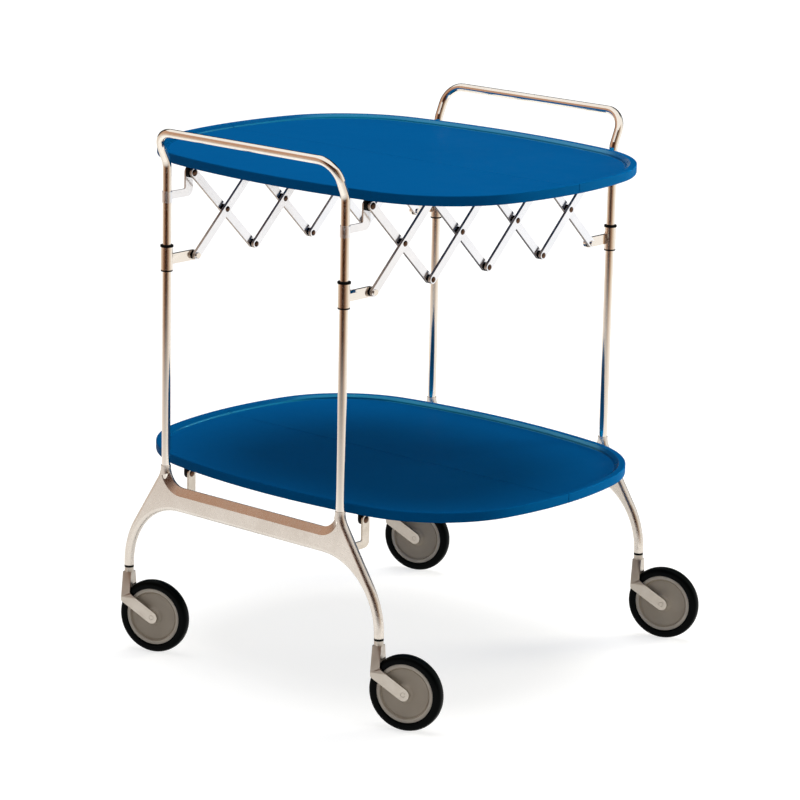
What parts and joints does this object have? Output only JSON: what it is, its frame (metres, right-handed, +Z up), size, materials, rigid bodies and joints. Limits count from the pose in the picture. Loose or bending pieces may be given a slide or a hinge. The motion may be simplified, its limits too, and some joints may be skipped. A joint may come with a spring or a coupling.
{
  "type": "folding serving trolley",
  "caption": "Folding serving trolley: a recessed tray above another, bent tube handles, scissor links under the top tray, cast end bridges and swivel casters.",
  "frame": {"origin": "on the floor, midway between the four posts", "axes": "+Z up, X along the folding direction across the tray seams, Y along the handle bars"},
  "size_m": [0.5779, 0.6021, 0.7],
  "materials": {
    "polished_tube": "polished",
    "cast_alloy": "polished cast",
    "plated_steel": "plated",
    "blue_plastic": "gloss",
    "black_plastic": "matte",
    "grey_plastic": "satin",
    "black_rubber": "matte"
  },
  "bodies": {
    "left_frame": {"handle_tube_left": "polished_tube", "end_casting_left": "cast_alloy", "top_brackets_left": "plated_steel", "tray_lugs_left": "plated_steel", "lug_screws_left": "plated_steel", "pivot_pins_left": "plated_steel"},
    "top_left_half": {"top_tray_left": "blue_plastic", "top_tray_clips_left": "black_plastic", "top_hinge_leaves_left": "plated_steel"},
    "low_left_half": {"low_tray_left": "blue_plastic", "low_tray_clips_left": "black_plastic", "low_hinge_leaves_left": "plated_steel"},
    "left_collars": {"collars_left": "cast_alloy", "collar_rings_left": "black_plastic"},
    "left_front_caster": {"caster_fork_left_front": "cast_alloy", "caster_axle_left_front": "plated_steel"},
    "left_front_wheel": {"wheel_hub_left_front": "grey_plastic", "wheel_tyre_left_front": "black_rubber"},
    "left_rear_caster": {"caster_fork_left_rear": "cast_alloy", "caster_axle_left_rear": "plated_steel"},
    "left_rear_wheel": {"wheel_hub_left_rear": "grey_plastic", "wheel_tyre_left_rear": "black_rubber"},
    "right_frame": {"handle_tube_right": "polished_tube", "end_casting_right": "cast_alloy", "top_brackets_right": "plated_steel", "tray_lugs_right": "plated_steel", "lug_screws_right": "plated_steel", "pivot_pins_right": "plated_steel"},
    "top_right_half": {"top_tray_right": "blue_plastic", "top_tray_clips_right": "black_plastic", "top_hinge_leaves_right": "plated_steel"},
    "low_right_half": {"low_tray_right": "blue_plastic", "low_tray_clips_right": "black_plastic", "low_hinge_leaves_right": "plated_steel"},
    "right_collars": {"collars_right": "cast_alloy", "collar_rings_right": "black_plastic"},
    "right_front_caster": {"caster_fork_right_front": "cast_alloy", "caster_axle_right_front": "plated_steel"},
    "right_front_wheel": {"wheel_hub_right_front": "grey_plastic", "wheel_tyre_right_front": "black_rubber"},
    "right_rear_caster": {"caster_fork_right_rear": "cast_alloy", "caster_axle_right_rear": "plated_steel"},
    "right_rear_wheel": {"wheel_hub_right_rear": "grey_plastic", "wheel_tyre_right_rear": "black_rubber"},
    "falling_1": {"falling_links_1": "plated_steel"},
    "rising_1": {"rising_links_1": "plated_steel", "scissor_rivets_1": "plated_steel", "scissor_spacers_1": "black_plastic"},
    "falling_2": {"falling_links_2": "plated_steel"},
    "rising_2": {"rising_links_2": "plated_steel", "scissor_rivets_2": "plated_steel", "scissor_spacers_2": "black_plastic"},
    "falling_3": {"falling_links_3": "plated_steel"},
    "rising_3": {"rising_links_3": "plated_steel", "scissor_rivets_3": "plated_steel", "scissor_spacers_3": "black_plastic"},
    "falling_4": {"falling_links_4": "plated_steel"},
    "rising_4": {"rising_links_4": "plated_steel", "scissor_rivets_4": "plated_steel", "scissor_spacers_4": "black_plastic"}
  },
  "joints": [
    {"name": "fold", "type": "hinge", "parent": "left_frame", "child": "top_left_half", "pos_m": [-0.216, 0, 0.6345], "axis": [0, -1, 0], "range_deg": [0, 78]},
    {"name": "top_seam", "type": "hinge", "parent": "top_left_half", "child": "top_right_half", "pos_m": [0, 0, 0.6345], "axis": [0, -1, 0], "range_deg": [-156, 0]},
    {"name": "right_frame_pivot", "type": "hinge", "parent": "top_right_half", "child": "right_frame", "pos_m": [0.216, 0, 0.6345], "axis": [0, -1, 0], "range_deg": [0, 78]},
    {"name": "low_left_pivot", "type": "hinge", "parent": "left_frame", "child": "low_left_half", "pos_m": [-0.216, 0, 0.241], "axis": [0, -1, 0], "range_deg": [0, 78]},
    {"name": "low_seam", "type": "hinge", "parent": "low_left_half", "child": "low_right_half", "pos_m": [0, 0, 0.241], "axis": [0, -1, 0], "range_deg": [-156, 0]},
    {"name": "falling_1_pivot", "type": "hinge", "parent": "left_frame", "child": "falling_1", "pos_m": [-0.216, 0, 0.6345], "axis": [0, -1, 0], "range_deg": [-37.12, 0]},
    {"name": "rising_1_cross", "type": "hinge", "parent": "falling_1", "child": "rising_1", "pos_m": [-0.162, 0, 0.58175], "axis": [0, -1, 0], "range_deg": [0, 74.24]},
    {"name": "left_collar_pivot", "type": "hinge", "parent": "rising_1", "child": "left_collars", "pos_m": [-0.216, 0, 0.529], "axis": [0, -1, 0], "range_deg": [-37.12, 0]},
    {"name": "falling_2_pivot", "type": "hinge", "parent": "rising_1", "child": "falling_2", "pos_m": [-0.108, 0, 0.6345], "axis": [0, -1, 0], "range_deg": [-74.24, 0]},
    {"name": "rising_2_cross", "type": "hinge", "parent": "falling_2", "child": "rising_2", "pos_m": [-0.054, 0, 0.58175], "axis": [0, -1, 0], "range_deg": [0, 74.24]},
    {"name": "rising_4_pivot", "type": "hinge", "parent": "right_frame", "child": "rising_4", "pos_m": [0.216, 0, 0.6345], "axis": [0, -1, 0], "range_deg": [0, 37.12]},
    {"name": "falling_4_cross", "type": "hinge", "parent": "rising_4", "child": "falling_4", "pos_m": [0.162, 0, 0.58175], "axis": [0, -1, 0], "range_deg": [-74.24, 0]},
    {"name": "right_collar_pivot", "type": "hinge", "parent": "falling_4", "child": "right_collars", "pos_m": [0.216, 0, 0.529], "axis": [0, -1, 0], "range_deg": [0, 37.12]},
    {"name": "rising_3_pivot", "type": "hinge", "parent": "falling_4", "child": "rising_3", "pos_m": [0.108, 0, 0.6345], "axis": [0, -1, 0], "range_deg": [0, 74.24]},
    {"name": "falling_3_cross", "type": "hinge", "parent": "rising_3", "child": "falling_3", "pos_m": [0.054, 0, 0.58175], "axis": [0, -1, 0], "range_deg": [-74.24, 0]},
    {"name": "left_front_swivel", "type": "hinge", "parent": "left_frame", "child": "left_front_caster", "pos_m": [-0.26, -0.218, 0.113], "axis": [0, 0, 1], "continuous": true},
    {"name": "left_front_roll", "type": "hinge", "parent": "left_front_caster", "child": "left_front_wheel", "pos_m": [-0.24826, -0.25414, 0.0485], "axis": [0.9511, 0.309, 0], "continuous": true},
    {"name": "left_rear_swivel", "type": "hinge", "parent": "left_frame", "child": "left_rear_caster", "pos_m": [-0.26, 0.218, 0.113], "axis": [0, 0, 1], "continuous": true},
    {"name": "left_rear_roll", "type": "hinge", "parent": "left_rear_caster", "child": "left_rear_wheel", "pos_m": [-0.24826, 0.18186, 0.0485], "axis": [0.9511, 0.309, 0], "continuous": true},
    {"name": "right_front_swivel", "type": "hinge", "parent": "right_frame", "child": "right_front_caster", "pos_m": [0.26, -0.218, 0.113], "axis": [0, 0, 1], "continuous": true},
    {"name": "right_front_roll", "type": "hinge", "parent": "right_front_caster", "child": "right_front_wheel", "pos_m": [0.27174, -0.25414, 0.0485], "axis": [0.9511, 0.309, 0], "continuous": true},
    {"name": "right_rear_swivel", "type": "hinge", "parent": "right_frame", "child": "right_rear_caster", "pos_m": [0.26, 0.218, 0.113], "axis": [0, 0, 1], "continuous": true},
    {"name": "right_rear_roll", "type": "hinge", "parent": "right_rear_caster", "child": "right_rear_wheel", "pos_m": [0.27174, 0.18186, 0.0485], "axis": [0.9511, 0.309, 0], "continuous": true}
  ],
  "couplings": [
    {"joint": "top_seam", "follows": "fold", "ratio": -2},
    {"joint": "right_frame_pivot", "follows": "fold", "ratio": 1},
    {"joint": "low_left_pivot", "follows": "fold", "ratio": 1},
    {"joint": "low_seam", "follows": "fold", "ratio": -2},
    {"joint": "falling_1_pivot", "follows": "fold", "ratio": -0.47587},
    {"joint": "rising_1_cross", "follows": "fold", "ratio": 0.95174},
    {"joint": "left_collar_pivot", "follows": "fold", "ratio": -0.47587},
    {"joint": "falling_2_pivot", "follows": "fold", "ratio": -0.95174},
    {"joint": "rising_2_cross", "follows": "fold", "ratio": 0.95174},
    {"joint": "rising_4_pivot", "follows": "fold", "ratio": 0.47587},
    {"joint": "falling_4_cross", "follows": "fold", "ratio": -0.95174},
    {"joint": "right_collar_pivot", "follows": "fold", "ratio": 0.47587},
    {"joint": "rising_3_pivot", "follows": "fold", "ratio": 0.95174},
    {"joint": "falling_3_cross", "follows": "fold", "ratio": -0.95174}
  ]
}
